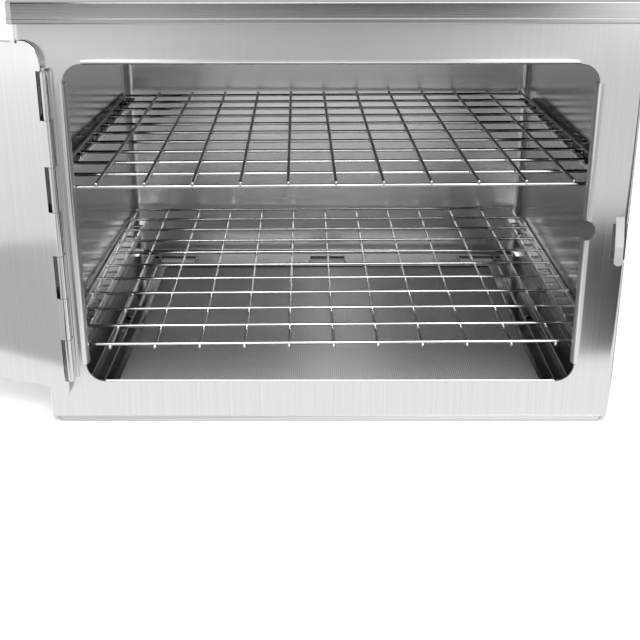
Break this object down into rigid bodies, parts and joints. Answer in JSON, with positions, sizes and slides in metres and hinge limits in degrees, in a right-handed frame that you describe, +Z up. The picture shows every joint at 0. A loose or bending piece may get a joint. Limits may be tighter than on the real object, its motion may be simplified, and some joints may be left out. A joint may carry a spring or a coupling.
{
  "type": "food dehydrator",
  "caption": "Sheet-steel food dehydrator cabinet with wire racks on ledges, mesh floor, side-hinged door with a turn latch and a lift-off lid",
  "frame": {"origin": "The middle of the base ring's underside, on the ground, in line with the middle of the casing.", "axes": "+X to the right seen from the front, +Y from the doorway to the back wall, +Z up."},
  "size_m": [0.5688, 0.2804, 0.2313],
  "materials": {
    "casing_steel": "brushed, fairly glossy",
    "inner_steel": "brushed",
    "floor_steel": "brushed",
    "mesh_steel": "woven wire",
    "rack_wire": "bright wire",
    "fitting_steel": "plain",
    "knob_plastic": "matte, heat-resistant"
  },
  "bodies": {
    "cabinet": {"front_frame": "casing_steel", "back_wall": "casing_steel", "left_side_wall": "casing_steel", "right_side_wall": "casing_steel", "base_plinth": "casing_steel", "floor_mesh": "mesh_steel", "mesh_left_rail": "floor_steel", "mesh_right_rail": "floor_steel", "mesh_front_rail": "floor_steel", "mesh_rear_rail": "floor_steel", "rail_rivets": "floor_steel", "upper_left_runner": "inner_steel", "upper_right_runner": "inner_steel", "lower_left_runner": "inner_steel", "lower_right_runner": "inner_steel", "hinge_leaf": "fitting_steel", "hinge_pin": "fitting_steel"},
    "door": {"door_panel": "casing_steel", "latch_bushing": "fitting_steel"},
    "latch": {"latch_washer": "fitting_steel", "latch_pivot": "fitting_steel", "latch_tongue": "fitting_steel", "latch_lever": "fitting_steel", "latch_knob": "knob_plastic"},
    "upper_rack": {"upper_rack": "rack_wire"},
    "lower_rack": {"lower_rack": "rack_wire"},
    "lid": {"lid": "casing_steel"}
  },
  "joints": [
    {"name": "door_hinge", "type": "hinge", "parent": "cabinet", "child": "door", "pos_m": [-0.14085, -0.1402, 0.11345], "axis": [0, 0, 1], "range_deg": [0, 199]},
    {"name": "latch_turn", "type": "hinge", "parent": "door", "child": "latch", "pos_m": [-0.39931, -0.05121, 0.11345], "axis": [-0.3256, -0.9455, 0], "range_deg": [-53, 0]},
    {"name": "upper_rack_slide", "type": "slide", "parent": "cabinet", "child": "upper_rack", "axis": [0, 1, 0], "range_m": [-0.0004, 0.0045]},
    {"name": "lower_rack_slide", "type": "slide", "parent": "cabinet", "child": "lower_rack", "axis": [0, 1, 0], "range_m": [-0.0065, 0]},
    {"name": "lid_lift", "type": "slide", "parent": "cabinet", "child": "lid", "axis": [0, 0, 1], "range_m": [0, 0.04]}
  ]
}
